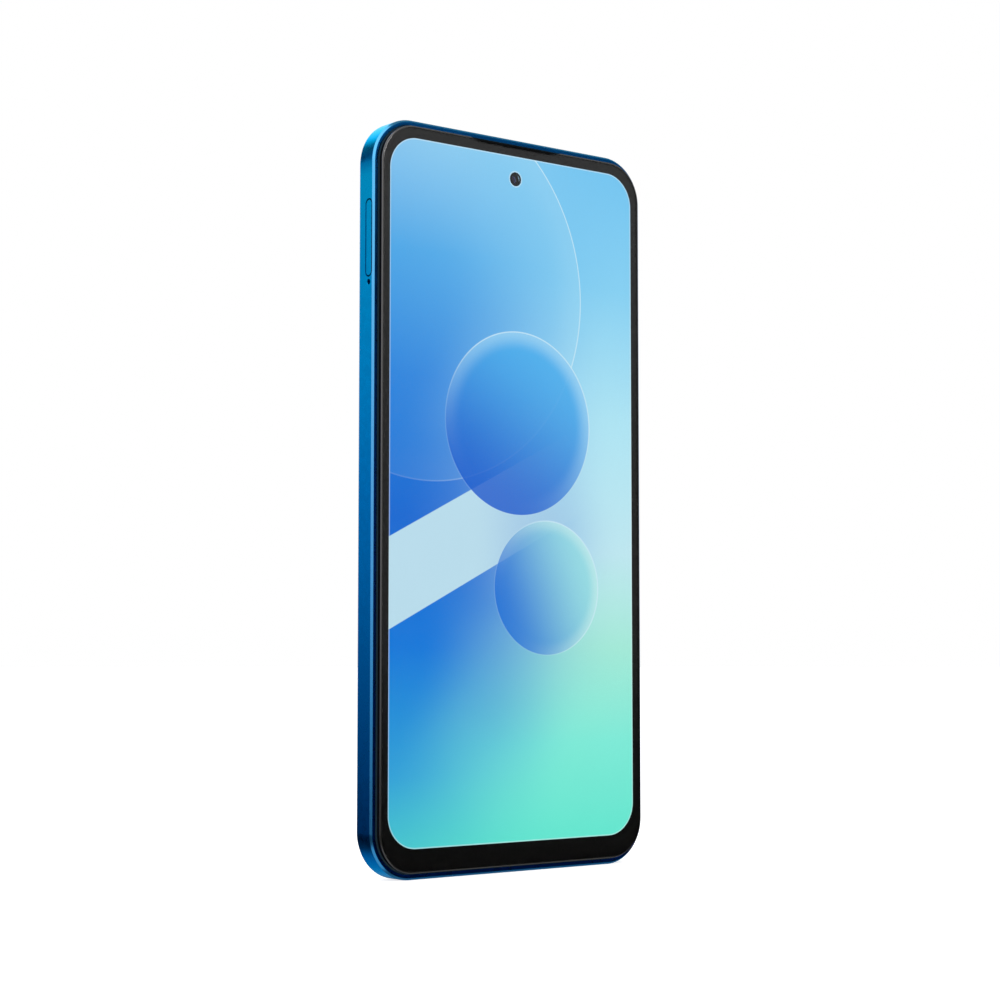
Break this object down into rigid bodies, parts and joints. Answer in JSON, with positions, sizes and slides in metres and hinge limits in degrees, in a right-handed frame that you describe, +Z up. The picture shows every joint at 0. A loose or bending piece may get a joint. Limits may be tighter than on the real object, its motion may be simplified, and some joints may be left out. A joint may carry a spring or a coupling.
{
  "type": "smartphone",
  "caption": "Slim touch-screen smartphone with a blue flat-sided frame, punch-hole front camera, rear camera island, side keys and a slide-out card tray.",
  "frame": {"origin": "on the bottom edge, at mid-width and mid-thickness of the body", "axes": "+Z up along the height, +X to the right as seen from the screen, the screen faces -Y"},
  "size_m": [0.0767, 0.0096, 0.1633],
  "materials": {
    "cover_glass": "polished",
    "display": "gloss",
    "backlight_film": "satin",
    "blue_metal": "satin",
    "blue_cover": "gloss",
    "black_plastic": "matte",
    "camera_black": "gloss",
    "camera_glass": "polished",
    "black_mesh": "matte",
    "plate_metal": "satin",
    "steel": "satin",
    "flex_circuit": "satin",
    "rubber": "matte",
    "circuit_board": "satin",
    "battery_pouch": "satin",
    "white_tape": "matte",
    "flash_diffuser": "gloss"
  },
  "bodies": {
    "phone_body": {"cover_glass": "cover_glass", "display_panel": "display", "display_backlight": "backlight_film", "display_gasket": "black_plastic", "display_flex": "flex_circuit", "earpiece_mesh": "black_mesh", "earpiece_speaker": "black_plastic", "front_camera": "camera_black", "side_frame": "blue_metal", "midframe_plate": "plate_metal", "sim_connector": "steel", "eject_lever_pin": "steel", "side_key_flex": "flex_circuit", "side_key_bracket": "steel", "main_board": "circuit_board", "rear_shield": "steel", "front_shield": "steel", "processor": "camera_black", "main_camera": "camera_black", "second_camera": "camera_black", "upper_bracket": "black_plastic", "lower_bracket": "black_plastic", "battery": "battery_pouch", "battery_adhesive": "white_tape", "battery_flex": "flex_circuit", "main_flex": "flex_circuit", "coax_cable": "black_plastic", "sub_board": "circuit_board", "usb_shell": "steel", "usb_tongue": "black_plastic", "headphone_jack": "black_plastic", "loudspeaker": "black_plastic", "speaker_mesh": "black_mesh", "vibration_motor": "steel", "screw_1": "steel", "screw_2": "steel", "screw_3": "steel", "screw_4": "steel", "screw_5": "steel", "screw_6": "steel", "screw_7": "steel", "screw_8": "steel", "rear_cover": "blue_cover", "camera_island": "blue_cover", "main_lens_ring": "blue_metal", "second_lens_ring": "blue_metal", "main_lens_glass": "camera_glass", "second_lens_glass": "camera_glass", "flash_lens": "flash_diffuser"},
    "sim_tray": {"sim_tray": "blue_metal", "sim_tray_seal": "rubber"},
    "eject_rod": {"eject_rod": "steel"},
    "eject_lever": {"eject_lever": "steel"},
    "power_button": {"power_button": "blue_metal", "fingerprint_sensor": "blue_metal"},
    "volume_rocker": {"volume_rocker": "blue_metal"},
    "vibration_weight": {"vibration_weight": "steel"},
    "main_camera_lens": {"main_camera_lens": "camera_black"}
  },
  "joints": [
    {"name": "sim_tray_slide", "type": "slide", "parent": "phone_body", "child": "sim_tray", "axis": [-1, 0, 0], "range_m": [0, 0.036]},
    {"name": "eject_rod_slide", "type": "slide", "parent": "phone_body", "child": "eject_rod", "axis": [1, 0, 0], "range_m": [0, 0.0009]},
    {"name": "eject_lever_hinge", "type": "hinge", "parent": "phone_body", "child": "eject_lever", "pos_m": [0.0043, -0.00115, 0.1306], "axis": [0, -1, 0], "range_deg": [0, 14]},
    {"name": "power_button_slide", "type": "slide", "parent": "phone_body", "child": "power_button", "axis": [-1, 0, 0], "range_m": [0, 0.00025], "stiffness_N_per_m": 4000},
    {"name": "volume_rocker_hinge", "type": "hinge", "parent": "phone_body", "child": "volume_rocker", "pos_m": [0.03625, -0.00015, 0.1285], "axis": [0, 1, 0], "range_deg": [-1.6, 1.6], "stiffness_Nm_per_rad": 0.35},
    {"name": "vibration_weight_spin", "type": "hinge", "parent": "phone_body", "child": "vibration_weight", "pos_m": [-0.0313, 0.00035, 0.0163], "axis": [0, 0, 1], "continuous": true},
    {"name": "focus_slide", "type": "slide", "parent": "phone_body", "child": "main_camera_lens", "axis": [0, 1, 0], "range_m": [0, 0.0003], "stiffness_N_per_m": 200}
  ],
  "couplings": [
    {"joint": "eject_lever_hinge", "follows": "eject_rod_slide", "rad_per_m": 270}
  ]
}
